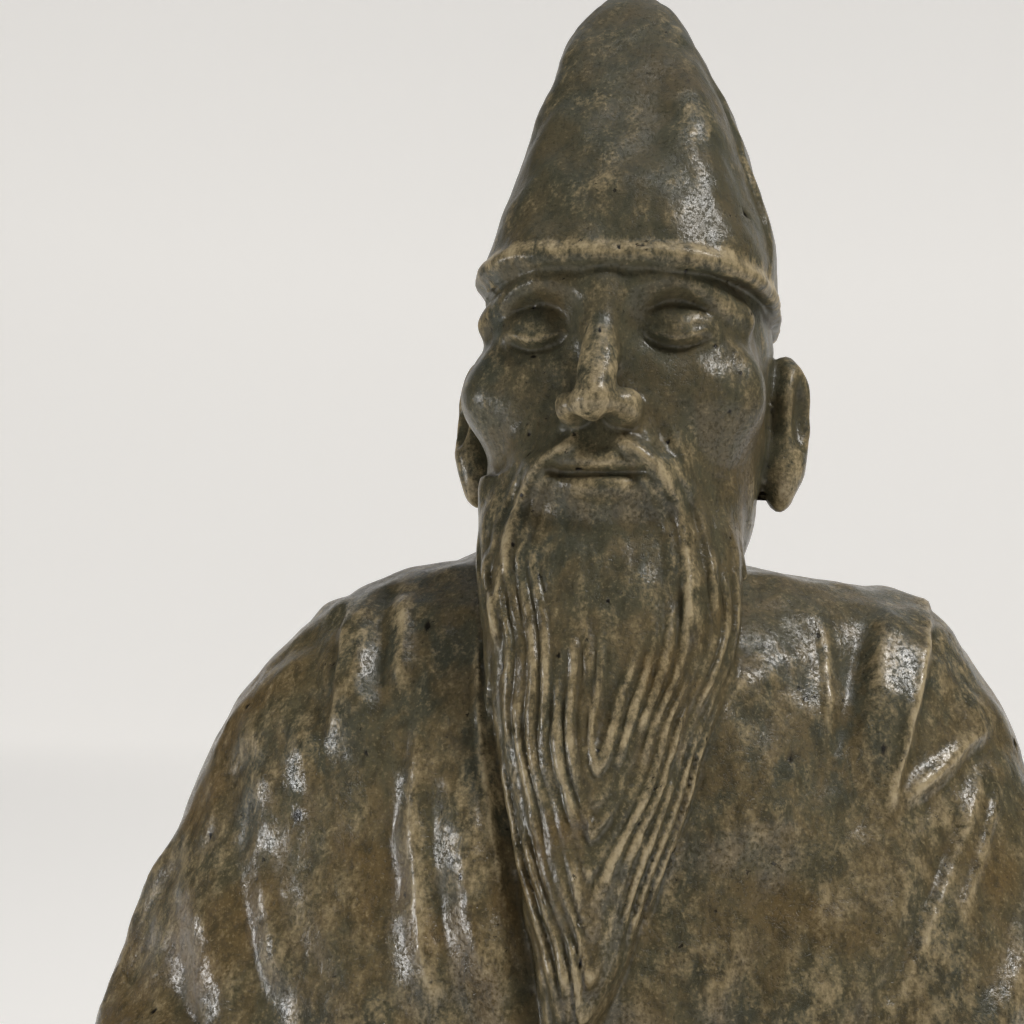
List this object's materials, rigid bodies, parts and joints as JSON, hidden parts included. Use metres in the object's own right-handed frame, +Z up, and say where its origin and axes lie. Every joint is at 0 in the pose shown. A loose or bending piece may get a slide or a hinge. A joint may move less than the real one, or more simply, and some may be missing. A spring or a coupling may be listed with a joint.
{
  "type": "ceramic figurine",
  "caption": "Glazed stoneware figurine of a seated, bearded old man in a loose robe and a tall pointed cap, on a low oval base.",
  "frame": {"origin": "middle of the base's flat underside, on the surface that it stands on", "axes": "+Z up, the figure faces -Y, +X to its left hand (the viewer's right)"},
  "size_m": [0.148, 0.1, 0.1962],
  "materials": {
    "glazed_stoneware": "glossy mottled olive-brown glaze, worn to tan on the raised edges"
  },
  "bodies": {
    "root": {"figure": "glazed_stoneware"}
  },
  "joints": []
}
